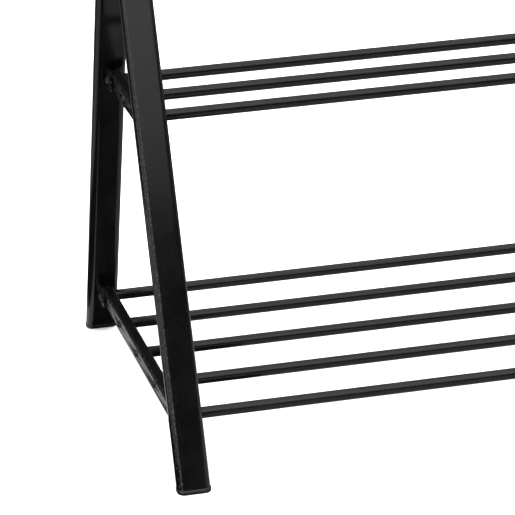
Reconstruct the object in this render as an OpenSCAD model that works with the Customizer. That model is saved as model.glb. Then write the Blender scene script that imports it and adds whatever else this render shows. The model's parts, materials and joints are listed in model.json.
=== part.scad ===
// Free-standing A-frame drying rack. Two end frames of flat-sided tube carry two rod shelves and a top rail.
// Each shelf turns on the screws of its rearmost rod and rests on tongues at the front legs.
// X runs along the rods, -Y is the front, Z is up. The origin is on the floor at the middle of the rack.

/* [Rack] */
// Length of the rack over both end frames
rack_length = 804; // [504:10:1204]
// Height of the top ends of the legs above the floor
leg_top_z = 608; // [602:1:612]

/* [Legs] */
// Width of the leg tube along the rods
leg_width = 34; // [32:1:40]
// Depth of the leg tube across its lean
leg_depth = 18; // [16:1:20]
// Outer corner radius of the leg tube
leg_corner_r = 7; // [4:0.5:7.5]
// Wall of the leg tube
leg_wall = 1.5; // [1:0.1:2]

/* [Shelves] */
// Diameter of the shelf rods
rod_d = 12; // [11:0.5:14]
// Height of the lower shelf's rods
lower_z = 52.5; // [48:0.5:60]
// Height of the upper shelf's rods
upper_z = 338.5; // [330:0.5:345]
// Distance between the rods of the lower shelf
lower_pitch = 91; // [88:1:92]
// Distance between the rods of the upper shelf
upper_pitch = 70; // [66:1:74]
// Gap between the rearmost rod's axis and the face of the rear leg
rear_gap = 17.5; // [16:0.1:19]
// Gap between the foremost lower rod's axis and the face of the front leg
lower_front_gap = 43; // [40:0.5:46]
// Gap between the foremost upper rod's axis and the face of the front leg
upper_front_gap = 43; // [40:0.5:46]

/* [Side bars] */
// How far the middle of a side bar is set inboard of the middle of the legs
bar_inset = 1.7; // [0:0.1:3]
// Width of a side bar along the rods
bar_width = 12; // [10:1:14]
// Height of a side bar
bar_height = 20; // [18:1:20]
// Wall of a side bar
bar_wall = 1.5; // [1:0.1:2]

/* [Screws] */
// Radius of a screw's domed head
head_r = 4.5; // [4:0.1:5]
// Height of a screw's domed head
head_h = 2.4; // [2:0.1:3]
// Radius of a screw's shank
shank_r = 2.4; // [2:0.1:2.4]

/* [Feet] */
// Height of the foot's flange under the tube
foot_h = 4.5; // [3:0.5:6]
// How far the flange stands out from the tube
foot_lip = 0.6; // [0.3:0.1:1]

/* [Hidden] */
$fn = 48;
lower_count = 5;
upper_count = 3;
frame_x = (rack_length - leg_width) / 2;

// Half the clear space between the two legs, measured at each shelf
lower_half_gap = ((lower_count - 1) * lower_pitch + rear_gap + lower_front_gap) / 2;
upper_half_gap = ((upper_count - 1) * upper_pitch + rear_gap + upper_front_gap) / 2;

// Lean of each leg from the vertical, and where its centreline meets the floor
lean = atan((lower_half_gap - upper_half_gap) / (upper_z - lower_z));
half_depth_y = leg_depth / 2 / cos(lean);
leg_foot_y = lower_half_gap + half_depth_y + lower_z * tan(lean);

// Axis of each shelf's rearmost rod, which is also its pivot
lower_pivot_y = lower_half_gap - rear_gap;
upper_pivot_y = upper_half_gap - rear_gap;

// Small clearances
mitre_gap = 0.25;
plug_gap = 0.3;
rest_gap = 0.3;
pivot_fit = 0.05;
hole_gap = 0.2;
thread_gap = 0.1;
cut_past = 1;

// Brackets
tab_t = 2;
tab_gap = 0.6;
tab_low = 9;
tab_high = 12;
tab_past_pivot = 12;
web_t = 1.4;
web_half_w = 9;
tongue_t = 2.5;
tongue_past_rod = 10;
tongue_web_h = 24;
rib_t = 3;
rib_h = 16;

// Tubes, inserts and screws
rod_wall = 1.2;
insert_gap = 0.05;
insert_len = 18;
bar_corner_r = 2;
bar_nose = 7.5;
bar_nose_r = 4;
screw_past_bar = 14;
screw_len = bar_width + screw_past_bar;
bar_x = frame_x - bar_inset;
bar_x_in = bar_x - bar_width / 2;
bar_x_out = bar_x + bar_width / 2;
plug_shrink = bar_wall + thread_gap;

// Joint at the top of each end frame
gusset_t = 3;
gusset_low_z = 505;
gusset_high_z = 598;
gusset_edge = 6;
apex_bolt_z = [530, 574];
apex_bolt_r = 3;
apex_head_r = 5.2;
apex_head_h = 3;
nut_r = 5.5;
nut_h = 5;
bolt_past_nut = 1;
top_rod_z = 545;
top_rod_x = frame_x - leg_width / 2 - gusset_t;
cap_t = 5;
plug_len = 24;

// Distance of a leg's centreline from the middle plane at height z
function leg_y(z) = leg_foot_y - z * tan(lean);

// Axis of rod k of a shelf, counted from the rear
function lower_rod_y(k) = lower_pivot_y - (k - 1) * lower_pitch;
function upper_rod_y(k) = upper_pivot_y - (k - 1) * upper_pitch;

// Rectangle with round corners, centred
module rounded_rect(w, d, r) {
    square([w - 2 * r, d], center = true);
    square([w, d - 2 * r], center = true);
    for (sx = [-1, 1], sy = [-1, 1]) {
        translate([sx * (w / 2 - r), sy * (d / 2 - r)]) circle(r = r);
    }
}

// Endless leaning bar with the leg's outline grown by grow, on the rear leg's line
module leaning(x, grow) {
    below = 40;
    length = 760;
    translate([x, leg_foot_y, 0])
        rotate([lean, 0, 0])
            translate([0, 0, -below])
                linear_extrude(height = length)
                    rounded_rect(leg_width + 2 * grow, leg_depth + 2 * grow, leg_corner_r + grow);
}

// Level slice of space on the rear side, from z0 to z1, starting at y0
module rear_slice(x, y0, z0, z1) {
    reach_x = 60;
    reach_y = 400;
    translate([x - reach_x / 2, y0, z0]) cube([reach_x, reach_y, z1 - z0]);
}

// Puts a rear part on the rear side (face 1) or mirrors it to the front side (face -1)
module on_face(face) {
    if (face > 0) children();
    else mirror([0, 1, 0]) children();
}

// Puts a right-hand part on the right side (side 1) or mirrors it to the left side (side -1)
module on_side(side) {
    if (side > 0) children();
    else mirror([1, 0, 0]) children();
}

// Hole along X at height z and place y
module x_hole(x0, x1, y, z, r) {
    translate([x0, y, z]) rotate([0, 90, 0]) cylinder(r = r, h = x1 - x0);
}

// Leg of hollow tube, cut level at the floor end and upright where the two legs meet
module leg(side, face) {
    x = side * frame_x;
    color("#1b1b1c")
        on_face(face)
            difference() {
                intersection() {
                    leaning(x, 0);
                    rear_slice(x, mitre_gap, foot_h, leg_top_z);
                }
                leaning(x, -leg_wall);
                for (z = apex_bolt_z) {
                    x_hole(x - leg_width, x + leg_width, leg_y(z), z, apex_bolt_r + hole_gap);
                }
            }
}

// Moulded plug in the foot of a leg, with a flange that meets the floor
module foot(side, face) {
    x = side * frame_x;
    color("#0e0e0f")
        on_face(face) {
            intersection() {
                leaning(x, foot_lip);
                rear_slice(x, mitre_gap, 0, foot_h);
            }
            intersection() {
                leaning(x, -leg_wall - plug_gap);
                rear_slice(x, mitre_gap, foot_h, foot_h + plug_len);
            }
        }
}

// Moulded cap over the tops of both legs of one end frame
module top_cap(side) {
    x = side * frame_x;
    plug_depth = 14;
    color("#0e0e0f")
        for (face = [-1, 1]) {
            on_face(face) {
                intersection() {
                    leaning(x, foot_lip);
                    rear_slice(x, 0, leg_top_z, leg_top_z + cap_t);
                }
                intersection() {
                    leaning(x, -leg_wall - plug_gap);
                    rear_slice(x, mitre_gap + leg_wall, leg_top_z - plug_depth, leg_top_z);
                }
            }
        }
}

// Flat steel plate that ties the two legs of an end frame together at the top
module gusset(side) {
    inner_x = frame_x - leg_width / 2;
    low_y = leg_y(gusset_low_z) + gusset_edge;
    high_y = leg_y(gusset_high_z) + gusset_edge;
    color("#1b1b1c")
        on_side(side)
            difference() {
                translate([inner_x, 0, 0])
                    rotate([90, 0, -90])
                        linear_extrude(height = gusset_t)
                            polygon([
                                [-low_y, gusset_low_z], [low_y, gusset_low_z],
                                [high_y, gusset_high_z], [-high_y, gusset_high_z]
                            ]);
                for (z = apex_bolt_z, face = [-1, 1]) {
                    x_hole(inner_x - leg_width, inner_x + cut_past, face * leg_y(z), z, apex_bolt_r + hole_gap);
                }
                x_hole(inner_x - leg_width, inner_x + cut_past, 0, top_rod_z, shank_r + hole_gap);
            }
}

// Domed head that stands on the plane z = 0
module dome(r, h) {
    ball_r = (r * r + h * h) / (2 * h);
    intersection() {
        translate([0, 0, h - ball_r]) sphere(r = ball_r);
        cylinder(r = r, h = h);
    }
}

// Screw along X with its head's seat at x, pointing inboard
module screw(x, y, z, length, r, cap_r, cap_h) {
    translate([x, y, z])
        rotate([0, 90, 0]) {
            dome(cap_r, cap_h);
            translate([0, 0, -length]) cylinder(r = r, h = length);
        }
}

// Bolts through the legs and the gussets
module apex_bolts() {
    length = leg_width + gusset_t + nut_h + bolt_past_nut;
    color("#232324")
        for (side = [-1, 1], face = [-1, 1], z = apex_bolt_z) {
            on_side(side)
                screw(frame_x + leg_width / 2, face * leg_y(z), z, length, apex_bolt_r, apex_head_r, apex_head_h);
        }
}

// Hexagon nuts on the inner face of the gussets
module apex_nuts() {
    color("#232324")
        for (side = [-1, 1], face = [-1, 1], z = apex_bolt_z) {
            on_side(side)
                translate([top_rod_x - nut_h, face * leg_y(z), z])
                    rotate([0, 90, 0])
                        difference() {
                            cylinder(r = nut_r, h = nut_h, $fn = 6);
                            translate([0, 0, -cut_past]) cylinder(r = apex_bolt_r + thread_gap, h = nut_h + 2 * cut_past);
                        }
        }
}

// Hollow rod along X whose ends are at -x and x
module rod(x, y, z) {
    color("#1b1b1c")
        translate([-x, y, z])
            rotate([0, 90, 0])
                difference() {
                    cylinder(r = rod_d / 2, h = 2 * x);
                    translate([0, 0, -cut_past]) cylinder(r = rod_d / 2 - rod_wall, h = 2 * (x + cut_past));
                }
}

// Threaded insert in each end of a rod whose ends are at -x and x
module rod_inserts(x, y, z) {
    color("#8a8a8c")
        for (side = [-1, 1]) {
            on_side(side)
                translate([x - insert_len, y, z])
                    rotate([0, 90, 0])
                        difference() {
                            cylinder(r = rod_d / 2 - rod_wall - insert_gap, h = insert_len);
                            translate([0, 0, -cut_past]) cylinder(r = shank_r + thread_gap, h = insert_len + 2 * cut_past);
                        }
        }
}

// Screws that hold the top rod between the gussets
module top_rod_screws() {
    length = gusset_t + screw_past_bar;
    color("#232324")
        for (side = [-1, 1]) {
            on_side(side) screw(frame_x - leg_width / 2, 0, top_rod_z, length, shank_r, head_r, head_h);
        }
}

// Tab welded upright to a rear leg, outside the bar, which holds the pivot
module pivot_bracket(side, y, z) {
    tab_x = bar_x_out + tab_gap;
    low_face_y = leg_y(z - tab_low) - half_depth_y;
    high_face_y = leg_y(z + tab_high) - half_depth_y;
    color("#1b1b1c")
        on_side(side)
            difference() {
                translate([tab_x, 0, z])
                    rotate([90, 0, 90])
                        linear_extrude(height = tab_t)
                            polygon([
                                [y - tab_past_pivot, -tab_low], [low_face_y, -tab_low],
                                [high_face_y, tab_high], [y - tab_past_pivot, tab_high]
                            ]);
                x_hole(tab_x - cut_past, tab_x + tab_t + cut_past, y, z, shank_r + pivot_fit);
            }
}

// Rest welded to a front leg: a level tongue under the bar's end, a web on the leg's face and a rib between them
module shelf_rest(side, rod_y, z) {
    top_z = z - bar_height / 2 - rest_gap;
    tip_y = -rod_y - tongue_past_rod;
    face_y = leg_y(top_z) - half_depth_y;
    root_y = face_y + rib_h;
    color("#1b1b1c")
        on_side(side)
            mirror([0, 1, 0])
                difference() {
                    union() {
                        translate([bar_x - bar_width / 2, tip_y, top_z - tongue_t])
                            cube([bar_width, root_y - tip_y, tongue_t]);
                        translate([frame_x - web_half_w, face_y, top_z])
                            rotate([lean, 0, 0])
                                translate([0, -web_t, -tongue_web_h])
                                    cube([2 * web_half_w, 2 * web_t, tongue_web_h]);
                        translate([frame_x + rib_t / 2, 0, 0])
                            rotate([90, 0, -90])
                                linear_extrude(height = rib_t)
                                    polygon([
                                        [-root_y, top_z - tongue_t], [-face_y + rib_h, top_z - tongue_t],
                                        [-face_y, top_z - tongue_t - rib_h], [-root_y, top_z - tongue_t - rib_h]
                                    ]);
                    }
                    leaning(frame_x, 0);
                    rear_slice(frame_x, face_y - cut_past, top_z, top_z + tongue_web_h);
                }
}

// Side view of a bar as wide as the bar and a little more: round about the pivot at y1, blunt past the rod at y0
module bar_outline(y0, y1, z) {
    half = bar_height / 2;
    nose_y = y0 - bar_nose;
    translate([bar_x_in - cut_past, 0, z])
        rotate([90, 0, 90])
            linear_extrude(height = bar_width + 2 * cut_past) {
                translate([y1, 0]) circle(r = half);
                translate([nose_y + bar_nose_r, -half]) square([y1 - nose_y - bar_nose_r, bar_height]);
                translate([nose_y, bar_nose_r - half]) square([bar_nose_r, bar_height - 2 * bar_nose_r]);
                for (sz = [-1, 1]) {
                    translate([nose_y + bar_nose_r, sz * (half - bar_nose_r)]) circle(r = bar_nose_r);
                }
            }
}

// Rectangular tube with soft corners along Y, from y0 to y1
module bar_tube(y0, y1, z, shrink) {
    translate([bar_x, y1, z])
        rotate([90, 0, 0])
            linear_extrude(height = y1 - y0)
                rounded_rect(bar_width - 2 * shrink, bar_height - 2 * shrink, bar_corner_r - shrink);
}

// Side bar of a shelf with a hole through it for each rod's screw
module side_bar(side, rod_ys, z) {
    front_y = rod_ys[len(rod_ys) - 1];
    rear_y = rod_ys[0];
    color("#1d1d1e")
        on_side(side)
            difference() {
                intersection() {
                    bar_tube(front_y - bar_nose, rear_y + bar_height / 2, z, 0);
                    bar_outline(front_y, rear_y, z);
                }
                bar_tube(front_y - bar_nose - cut_past, rear_y + bar_height / 2 + cut_past, z, bar_wall);
                for (y = rod_ys) x_hole(bar_x_in - cut_past, bar_x_out + cut_past, y, z, shank_r + hole_gap);
            }
}

// Moulded plugs in both ends of both side bars of a shelf
module bar_plugs(rod_ys, z) {
    front_y = rod_ys[len(rod_ys) - 1];
    rear_y = rod_ys[0];
    nose_plug_t = 3.5;
    rear_plug_t = 6;
    color("#0e0e0f")
        for (side = [-1, 1]) {
            on_side(side)
                intersection() {
                    bar_outline(front_y, rear_y, z);
                    union() {
                        bar_tube(rear_y + bar_height / 2 - rear_plug_t, rear_y + bar_height / 2, z, plug_shrink);
                        bar_tube(front_y - bar_nose, front_y - bar_nose + nose_plug_t, z, plug_shrink);
                    }
                }
        }
}

// Screws through the bars into the rods, with their seats at x
module rod_screws(x, length, rod_ys, z) {
    color("#232324")
        for (side = [-1, 1], y = rod_ys) {
            on_side(side) screw(x, y, z, length, shank_r, head_r, head_h);
        }
}

lower_ys = [for (k = [1:lower_count]) lower_rod_y(k)];
upper_ys = [for (k = [1:upper_count]) upper_rod_y(k)];
pivot_seat_x = bar_x_out + tab_gap + tab_t + rest_gap;
pivot_screw_len = screw_len + tab_gap + tab_t + rest_gap;

leg(-1, -1);  // left_front_leg
leg(-1, 1);  // left_rear_leg
leg(1, -1);  // right_front_leg
leg(1, 1);  // right_rear_leg
foot(-1, -1);  // left_front_foot
foot(-1, 1);  // left_rear_foot
foot(1, -1);  // right_front_foot
foot(1, 1);  // right_rear_foot
top_cap(-1);  // left_top_cap
top_cap(1);  // right_top_cap
gusset(-1);  // left_gusset
gusset(1);  // right_gusset
apex_bolts();
apex_nuts();
rod(top_rod_x, 0, top_rod_z);  // top_rod
rod_inserts(top_rod_x, 0, top_rod_z);  // top_rod_inserts
top_rod_screws();
pivot_bracket(-1, lower_pivot_y, lower_z);  // lower_left_pivot_bracket
pivot_bracket(1, lower_pivot_y, lower_z);  // lower_right_pivot_bracket
pivot_bracket(-1, upper_pivot_y, upper_z);  // upper_left_pivot_bracket
pivot_bracket(1, upper_pivot_y, upper_z);  // upper_right_pivot_bracket
shelf_rest(-1, lower_rod_y(lower_count), lower_z);  // lower_left_rest
shelf_rest(1, lower_rod_y(lower_count), lower_z);  // lower_right_rest
shelf_rest(-1, upper_rod_y(upper_count), upper_z);  // upper_left_rest
shelf_rest(1, upper_rod_y(upper_count), upper_z);  // upper_right_rest
side_bar(-1, lower_ys, lower_z);  // lower_left_bar
side_bar(1, lower_ys, lower_z);  // lower_right_bar
side_bar(-1, upper_ys, upper_z);  // upper_left_bar
side_bar(1, upper_ys, upper_z);  // upper_right_bar
bar_plugs(lower_ys, lower_z);  // lower_bar_plugs
bar_plugs(upper_ys, upper_z);  // upper_bar_plugs
rod(bar_x_in, lower_rod_y(1), lower_z);  // lower_rod_1
rod(bar_x_in, lower_rod_y(2), lower_z);  // lower_rod_2
rod(bar_x_in, lower_rod_y(3), lower_z);  // lower_rod_3
rod(bar_x_in, lower_rod_y(4), lower_z);  // lower_rod_4
rod(bar_x_in, lower_rod_y(5), lower_z);  // lower_rod_5
rod(bar_x_in, upper_rod_y(1), upper_z);  // upper_rod_1
rod(bar_x_in, upper_rod_y(2), upper_z);  // upper_rod_2
rod(bar_x_in, upper_rod_y(3), upper_z);  // upper_rod_3
for (y = lower_ys) rod_inserts(bar_x_in, y, lower_z);  // lower_rod_inserts
for (y = upper_ys) rod_inserts(bar_x_in, y, upper_z);  // upper_rod_inserts
union() {  // lower_rod_screws
    rod_screws(bar_x_out, screw_len, [for (k = [2:lower_count]) lower_rod_y(k)], lower_z);
}
union() {  // upper_rod_screws
    rod_screws(bar_x_out, screw_len, [for (k = [2:upper_count]) upper_rod_y(k)], upper_z);
}
union() {  // lower_pivot_screws
    rod_screws(pivot_seat_x, pivot_screw_len, [lower_pivot_y], lower_z);
}
union() {  // upper_pivot_screws
    rod_screws(pivot_seat_x, pivot_screw_len, [upper_pivot_y], upper_z);
}
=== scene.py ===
import bpy, bmesh, json, math
from mathutils import Matrix, Vector


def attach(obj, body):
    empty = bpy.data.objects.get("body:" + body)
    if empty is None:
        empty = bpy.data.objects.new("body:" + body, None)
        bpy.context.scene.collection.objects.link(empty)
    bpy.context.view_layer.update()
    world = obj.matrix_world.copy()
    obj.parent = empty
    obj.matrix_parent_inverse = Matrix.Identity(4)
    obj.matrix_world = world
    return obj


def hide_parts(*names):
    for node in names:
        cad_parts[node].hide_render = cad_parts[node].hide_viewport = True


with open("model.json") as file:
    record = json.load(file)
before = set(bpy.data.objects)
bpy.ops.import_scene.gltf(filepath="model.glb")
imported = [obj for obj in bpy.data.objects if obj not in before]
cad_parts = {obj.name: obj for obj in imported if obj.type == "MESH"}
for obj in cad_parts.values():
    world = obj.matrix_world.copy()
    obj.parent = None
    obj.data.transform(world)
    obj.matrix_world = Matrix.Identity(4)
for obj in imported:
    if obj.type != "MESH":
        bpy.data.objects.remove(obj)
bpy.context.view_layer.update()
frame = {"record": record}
scene = bpy.context.scene
record = frame["record"]
slot_of = {s["node"]: s["material_slot"] for s in record["subparts"]}
body_of = {n: b for b, nodes in record["behaviour"]["bodies"].items() for n in nodes}

# lengths in metres, angles in degrees
MERGE_DISTANCE = 1e-6
FLAT_ANGLE = 0.6
SMOOTH_ANGLE = 38
EDGE_ANGLE = 32
SCREW_EDGE_ANGLE = 34
SCREW_ROUNDING = 0.00025
OTHER_ROUNDING = 0.0004
SOCKET_DEPTH = 0.0014
SCREW_SOCKET = 0.003
BOLT_SOCKET = 0.004
WORN_METAL = (0.030, 0.029, 0.028)
DUST = (0.030, 0.029, 0.027)
FLOOR_SIZE = 30
FLOOR_Z = -0.0002
CARD_Z = -0.0008


# ---- camera: in front of the rack and above it, aimed down at its lower left end ----
def look(place, yaw, pitch, roll, lens):
    """Camera at place, turned yaw degrees right of +Y, pitch degrees down and rolled."""
    y, p, r = (math.radians(v) for v in (yaw, pitch, roll))
    forward = Vector((math.sin(y) * math.cos(p), math.cos(y) * math.cos(p), -math.sin(p)))
    right = Vector((math.cos(y), -math.sin(y), 0))
    up = right.cross(forward)
    right, up = right * math.cos(r) + up * math.sin(r), up * math.cos(r) - right * math.sin(r)
    camera = bpy.data.objects.new("camera", bpy.data.cameras.new("camera"))
    camera.matrix_world = Matrix((right, up, -forward)).transposed().to_4x4()
    camera.location = place
    camera.data.sensor_width = 36
    camera.data.lens = lens
    camera.data.clip_start = 0.05
    camera.data.clip_end = 60
    scene.collection.objects.link(camera)
    scene.camera = camera


look(Vector((-0.994, -3.210, 1.354)), 12.97, 20.07, -2.07, 229.6)


# ---- node materials ----
class Nodes:
    """A material's node tree with short calls for the nodes used here."""

    def __init__(self, name):
        self.mat = bpy.data.materials.new(name)
        self.mat.use_nodes = True
        self.tree = self.mat.node_tree
        self.shader = self.tree.nodes["Principled BSDF"]
        self.where = self.add("ShaderNodeTexCoord").outputs["Object"]

    def add(self, kind, **settings):
        node = self.tree.nodes.new(kind)
        for key, value in settings.items():
            setattr(node, key, value)
        return node

    def link(self, a, b):
        self.tree.links.new(a, b)

    def noise(self, scale, detail=3.0, rough=0.55, stretch=None):
        node = self.add("ShaderNodeTexNoise")
        node.inputs["Scale"].default_value = scale
        node.inputs["Detail"].default_value = detail
        node.inputs["Roughness"].default_value = rough
        if stretch:
            mapping = self.add("ShaderNodeMapping")
            mapping.inputs["Scale"].default_value = stretch
            self.link(self.where, mapping.inputs["Vector"])
            self.link(mapping.outputs["Vector"], node.inputs["Vector"])
        else:
            self.link(self.where, node.inputs["Vector"])
        return node.outputs["Fac"]

    def cells(self, scale):
        node = self.add("ShaderNodeTexVoronoi", feature="SMOOTH_F1")
        node.inputs["Scale"].default_value = scale
        self.link(self.where, node.inputs["Vector"])
        return node.outputs["Distance"]

    def remap(self, value, low, high, to_low, to_high):
        node = self.add("ShaderNodeMapRange", interpolation_type="SMOOTHSTEP")
        for key, number in (("From Min", low), ("From Max", high), ("To Min", to_low), ("To Max", to_high)):
            node.inputs[key].default_value = number
        self.link(value, node.inputs["Value"])
        return node.outputs["Result"]

    def math(self, operation, a, b):
        node = self.add("ShaderNodeMath", operation=operation)
        for slot, value in enumerate((a, b)):
            if isinstance(value, (int, float)):
                node.inputs[slot].default_value = value
            else:
                self.link(value, node.inputs[slot])
        return node.outputs["Value"]

    def mix(self, factor, a, b):
        node = self.add("ShaderNodeMix", data_type="RGBA")
        self.link(factor, node.inputs["Factor"])
        for socket, value in ((node.inputs[6], a), (node.inputs[7], b)):
            if isinstance(value, tuple):
                socket.default_value = (*value, 1)
            else:
                self.link(value, socket)
        return node.outputs[2]

    def edges(self):
        """1 on worn outer edges, broken up by noise."""
        point = self.add("ShaderNodeNewGeometry").outputs["Pointiness"]
        edge = self.remap(point, 0.52, 0.60, 0.0, 1.0)
        return self.math("MULTIPLY", edge, self.remap(self.noise(420, 4), 0.48, 0.62, 0.0, 1.0))

    def bump(self, layers):
        """Stacks (height, strength, distance in metres) into one normal."""
        normal = None
        for height, strength, distance in layers:
            node = self.add("ShaderNodeBump")
            node.inputs["Strength"].default_value = strength
            node.inputs["Distance"].default_value = distance
            self.link(height, node.inputs["Height"])
            if normal:
                self.link(normal, node.inputs["Normal"])
            normal = node.outputs["Normal"]
        self.link(normal, self.shader.inputs["Normal"])

    def colour(self, value):
        self.link(value, self.shader.inputs["Base Color"])

    def rough(self, value):
        self.link(value, self.shader.inputs["Roughness"])


def powder_coat(name, dark, light, rough_low, rough_high, peel):
    """Semi-gloss powder coat: orange peel, faint mottling, dust and rubbed edges."""
    m = Nodes(name)
    tone = m.remap(m.noise(38, 5), 0.3, 0.7, 0.0, 1.0)
    base = m.mix(tone, dark, light)
    worn = m.edges()
    base = m.mix(worn, base, WORN_METAL)
    specks = m.remap(m.noise(1500, 2, 0.8), 0.70, 0.76, 0.0, 0.5)
    m.colour(m.mix(specks, base, DUST))
    patches = m.remap(m.noise(14, 4), 0.3, 0.7, rough_low, rough_high)
    m.rough(m.math("ADD", patches, m.math("MULTIPLY", worn, 0.12)))
    m.shader.inputs["Specular IOR Level"].default_value = 0.5
    m.bump([(m.cells(620), peel, 0.00004),
            (m.noise(2400, 2), peel * 0.7, 0.00002),
            (m.noise(60, 2), 0.25, 0.0001)])
    return m.mat


def moulding(name):
    """Black moulded plastic with a fine spark-eroded grain and scuffs."""
    m = Nodes(name)
    scuff = m.remap(m.noise(260, 6, 0.7, (1, 1, 0.25)), 0.60, 0.70, 0.0, 0.8)
    tone = m.remap(m.noise(50, 3), 0.3, 0.7, 0.0, 1.0)
    base = m.mix(tone, (0.004, 0.004, 0.004), (0.008, 0.008, 0.008))
    m.colour(m.mix(scuff, base, (0.022, 0.022, 0.021)))
    patches = m.remap(m.noise(90, 3), 0.3, 0.7, 0.20, 0.32)
    m.rough(m.math("ADD", patches, m.math("MULTIPLY", scuff, 0.1)))
    m.bump([(m.cells(1900), 0.5, 0.00004), (m.noise(3200, 3), 0.4, 0.00003)])
    return m.mat


def screw_black(name):
    """Black-finished steel with turning marks and bright rubbed edges."""
    m = Nodes(name)
    worn = m.edges()
    tone = m.remap(m.noise(300, 4), 0.35, 0.65, 0.0, 1.0)
    base = m.mix(tone, (0.035, 0.034, 0.033), (0.06, 0.058, 0.056))
    m.colour(m.mix(worn, base, (0.32, 0.31, 0.30)))
    m.rough(m.remap(m.noise(900, 3, 0.6, (0.2, 1, 1)), 0.3, 0.7, 0.24, 0.40))
    m.shader.inputs["Metallic"].default_value = 0.85
    m.bump([(m.noise(1500, 3, 0.6, (0.15, 1, 1)), 0.25, 0.00003)])
    return m.mat


def zinc(name):
    """Bright zinc plate: pale spangle and drawn lines along the insert."""
    m = Nodes(name)
    tone = m.remap(m.cells(500), 0.1, 0.6, 0.0, 1.0)
    m.colour(m.mix(tone, (0.42, 0.42, 0.43), (0.62, 0.61, 0.58)))
    m.rough(m.remap(m.noise(700, 4), 0.3, 0.7, 0.25, 0.45))
    m.shader.inputs["Metallic"].default_value = 1.0
    m.bump([(m.noise(1200, 3, 0.6, (1, 0.1, 1)), 0.3, 0.00003)])
    return m.mat


materials = {
    "frame_paint": powder_coat("frame_paint", (0.0018, 0.0017, 0.0017), (0.0034, 0.0032, 0.0031),
                               0.13, 0.19, 0.30),
    "rod_paint": powder_coat("rod_paint", (0.0019, 0.0018, 0.0017), (0.0036, 0.0033, 0.0031),
                             0.12, 0.18, 0.25),
    "black_moulding": moulding("black_moulding"),
    "black_screw": screw_black("black_screw"),
    "zinc_steel": zinc("zinc_steel"),
}


# ---- detailed pieces that stand for the CAD nodes ----
def piece(name, mesh, node):
    """Adds a finished mesh that replaces one CAD node and rides with its body."""
    obj = bpy.data.objects.new(name, mesh)
    scene.collection.objects.link(obj)
    mesh.materials.clear()
    mesh.materials.append(materials[slot_of[node]])
    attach(obj, body_of[node])
    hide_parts(node)


def apply_modifiers(obj):
    """Mesh of the object with its modifiers applied; the object itself is removed."""
    graph = bpy.context.evaluated_depsgraph_get()
    mesh = bpy.data.meshes.new_from_object(obj.evaluated_get(graph))
    bpy.data.objects.remove(obj)
    return mesh


def softened(node, width, sharper_than=EDGE_ANGLE, segments=3, cutters=None):
    """Makes a piece of the node's CAD shape: flats merged, sharp edges rounded, recesses cut."""
    source = bpy.data.objects[node]
    bm = bmesh.new()
    bm.from_mesh(source.data)
    bm.transform(source.matrix_world)
    bmesh.ops.remove_doubles(bm, verts=bm.verts, dist=MERGE_DISTANCE)
    bmesh.ops.dissolve_limit(bm, angle_limit=math.radians(FLAT_ANGLE), verts=bm.verts, edges=bm.edges)
    mesh = bpy.data.meshes.new(node + "_soft")
    bm.to_mesh(mesh)
    bm.free()
    work = bpy.data.objects.new("work", mesh)
    scene.collection.objects.link(work)
    if cutters:
        cut = work.modifiers.new("cut", "BOOLEAN")
        cut.operation = "DIFFERENCE"
        cut.solver = "EXACT"
        cut.object = cutters
    bevel = work.modifiers.new("bevel", "BEVEL")
    bevel.width = width
    bevel.segments = segments
    bevel.limit_method = "ANGLE"
    bevel.angle_limit = math.radians(sharper_than)
    bevel.use_clamp_overlap = True
    bevel.harden_normals = False
    bpy.context.view_layer.update()
    done = apply_modifiers(work)
    done.shade_smooth()
    done.set_sharp_from_angle(angle=math.radians(SMOOTH_ANGLE))
    piece(node + "_piece", done, node)


def socket_cutters(centres, across, depth):
    """Hexagon prisms along X, one at each head's top centre."""
    bm = bmesh.new()
    radius = across / math.sqrt(3)
    turn = Matrix.Rotation(math.pi / 2, 4, "Y")
    for centre in centres:
        made = bmesh.ops.create_cone(bm, cap_ends=True, segments=6, radius1=radius, radius2=radius,
                                     depth=2 * depth)
        bmesh.ops.transform(bm, matrix=Matrix.Translation(centre) @ turn, verts=made["verts"])
    mesh = bpy.data.meshes.new("sockets")
    bm.to_mesh(mesh)
    bm.free()
    obj = bpy.data.objects.new("sockets", mesh)
    scene.collection.objects.link(obj)
    return obj


def islands(node):
    """Box of each loose solid of a CAD node."""
    mesh = bpy.data.objects[node].data
    parent = list(range(len(mesh.vertices)))

    def root(i):
        while parent[i] != i:
            parent[i] = parent[parent[i]]
            i = parent[i]
        return i

    keys = {}
    for v in mesh.vertices:
        key = tuple(round(c, 6) for c in v.co)
        parent[v.index] = keys.setdefault(key, v.index)
    for e in mesh.edges:
        a, b = root(e.vertices[0]), root(e.vertices[1])
        parent[a] = b
    groups = {}
    for v in mesh.vertices:
        groups.setdefault(root(v.index), []).append(v.co)
    return [(Vector(map(min, *g)), Vector(map(max, *g))) for g in groups.values()]


def screw_piece(node, across):
    """Makes screws with a hexagon socket in each domed head; a head is the outboard end."""
    centres = []
    for low, high in islands(node):
        outer = high.x if low.x + high.x > 0 else low.x
        centres.append(Vector((outer, (low.y + high.y) / 2, (low.z + high.z) / 2)))
    cutters = socket_cutters(centres, across, SOCKET_DEPTH)
    softened(node, SCREW_ROUNDING, SCREW_EDGE_ANGLE, 2, cutters)
    bpy.data.objects.remove(cutters)


sockets = {"screws": SCREW_SOCKET, "bolts": BOLT_SOCKET}
rounding = {"leg": 0.0003, "foot": 0.0020, "cap": 0.0012, "gusset": 0.0006, "plugs": 0.0005,
            "inserts": 0.0002}
for node in slot_of:
    last = node.split("_")[-1]
    if last in sockets:
        screw_piece(node, sockets[last])
    else:
        softened(node, rounding.get(last, OTHER_ROUNDING))


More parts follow.
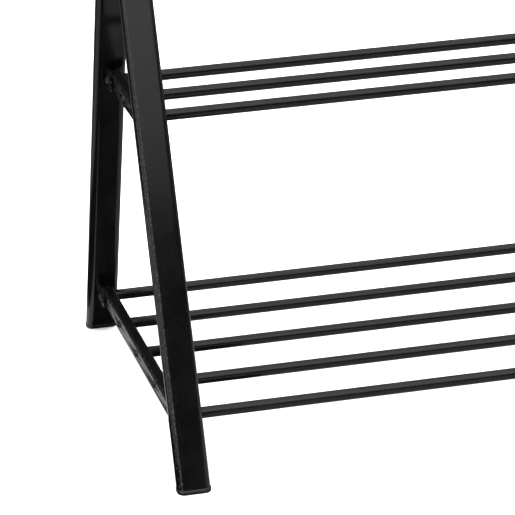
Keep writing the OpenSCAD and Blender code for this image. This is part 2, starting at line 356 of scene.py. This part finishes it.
# ---- floor and light ----
def floor_material():
    """Matt off-white floor with a faint mottle."""
    m = Nodes("floor")
    m.colour(m.mix(m.noise(3, 4), (0.86, 0.86, 0.86), (0.90, 0.90, 0.90)))
    m.rough(m.remap(m.noise(8, 3), 0.3, 0.7, 0.75, 0.9))
    m.shader.inputs["Specular IOR Level"].default_value = 0.1
    m.bump([(m.noise(400, 3), 0.1, 0.0002)])
    return m.mat


bm = bmesh.new()
bmesh.ops.create_grid(bm, x_segments=2, y_segments=2, size=FLOOR_SIZE)
floor_mesh = bpy.data.meshes.new("floor")
bm.to_mesh(floor_mesh)
bm.free()
floor_mesh.materials.append(floor_material())
floor = bpy.data.objects.new("floor", floor_mesh)
floor.location.z = FLOOR_Z
floor.visible_glossy = False
scene.collection.objects.link(floor)


def softbox(name, place, aim, width, height, power, glossy=True):
    """Rectangular area light at place, turned to aim; glossy says whether reflections show it."""
    light = bpy.data.lights.new(name, "AREA")
    light.shape = "RECTANGLE"
    light.size, light.size_y = width, height
    light.energy = power
    obj = bpy.data.objects.new(name, light)
    obj.location = place
    obj.rotation_euler = (Vector(aim) - Vector(place)).to_track_quat("-Z", "Y").to_euler()
    obj.visible_glossy = glossy
    scene.collection.objects.link(obj)


def card(name, outline, level):
    """Bounce card at floor level, which only reflections see."""
    mesh = bpy.data.meshes.new(name)
    mesh.from_pydata([(x, y, CARD_Z) for x, y in outline], [], [list(range(len(outline)))])
    mesh.update()
    m = Nodes(name)
    shade = m.mix(m.noise(2.5, 2), tuple(0.9 * c for c in level), tuple(1.1 * c for c in level))
    m.colour(shade)
    m.link(shade, m.shader.inputs["Emission Color"])
    m.shader.inputs["Emission Strength"].default_value = 1.0
    mesh.materials.append(m.mat)
    obj = bpy.data.objects.new(name, mesh)
    obj.visible_camera = obj.visible_diffuse = obj.visible_shadow = False
    scene.collection.objects.link(obj)


softbox("floor_light", (0, 0, 6), (0, 0, 0), 9, 9, 1200, glossy=False)
softbox("left_box", (-3.7, -1.8, 0.9), (0, 0, 0.2), 5.4, 2.4, 34)
softbox("left_spot", (-3.4, -1.5, 2.3), (-0.4, 0, 0.2), 0.4, 0.4, 6)
softbox("right_box", (4.0, 0.8, 0.6), (0, 0, 0.2), 2.6, 1.6, 6)
card("bounce_under", [(-0.36, -1.5), (1.4, -1.5), (1.4, 0.34), (-0.33, 0.34), (-0.33, 0.10), (-0.27, 0),
                      (-0.27, -0.17), (-0.36, -0.17)], (0.42, 0.38, 0.36))
card("bounce_side", [(-0.429, -0.06), (-0.40, -0.06), (-0.40, 0.235), (-0.429, 0.345)], (0.68, 0.64, 0.62))
card("bounce_left", [(-2.5, -1.2), (-0.64, -1.2), (-0.64, 0.6), (-2.5, 0.6)], (0.45, 0.43, 0.42))
card("bounce_behind", [(-0.43, 0.42), (0.9, 0.42), (0.9, 3), (-0.95, 3), (-0.86, 2.5), (-0.748, 1.89),
                       (-0.649, 1.36), (-0.569, 0.92), (-0.503, 0.57)], (0.11, 0.11, 0.11))

world = bpy.data.worlds.new("studio")
scene.world = world
world.use_nodes = True
tree = world.node_tree


def sky(levels, height):
    """Grey level of the studio by elevation in degrees."""
    ramp = tree.nodes.new("ShaderNodeValToRGB")
    while len(ramp.color_ramp.elements) < len(levels):
        ramp.color_ramp.elements.new(0.5)
    for element, (elevation, level) in zip(ramp.color_ramp.elements, levels):
        element.position = (math.sin(math.radians(elevation)) + 1) / 2
        element.color = (level, level, level, 1)
    tree.links.new(height, ramp.inputs["Fac"])
    return ramp.outputs["Color"]


def spread(value, low, high):
    """The value's share of the way from low to high."""
    node = tree.nodes.new("ShaderNodeMapRange")
    node.inputs["From Min"].default_value = low
    node.inputs["From Max"].default_value = high
    tree.links.new(value, node.inputs["Value"])
    return node.outputs["Result"]


where = tree.nodes.new("ShaderNodeTexCoord")
split = tree.nodes.new("ShaderNodeSeparateXYZ")
tree.links.new(where.outputs["Generated"], split.inputs["Vector"])
height = spread(split.outputs["Z"], -1, 1)
front = sky([(-90, 0.008), (10, 0.008), (16, 0.012), (18.6, 0.06), (19.4, 0.12), (20.6, 0.36), (21.5, 0.60),
             (24.5, 0.82), (28, 0.88), (45, 1.55), (90, 1.15)], height)
back = sky([(-90, 0.008), (26, 0.010), (34, 0.10), (44, 0.75), (60, 1.0), (90, 1.05)], height)
blend = tree.nodes.new("ShaderNodeMix")
blend.data_type = "RGBA"
tree.links.new(spread(split.outputs["Y"], -0.1, 0.3), blend.inputs["Factor"])
tree.links.new(front, blend.inputs["A"])
tree.links.new(back, blend.inputs["B"])
tree.links.new(blend.outputs["Result"], tree.nodes["Background"].inputs["Color"])

scene.view_settings.view_transform = "Standard"
scene.view_settings.look = "None"
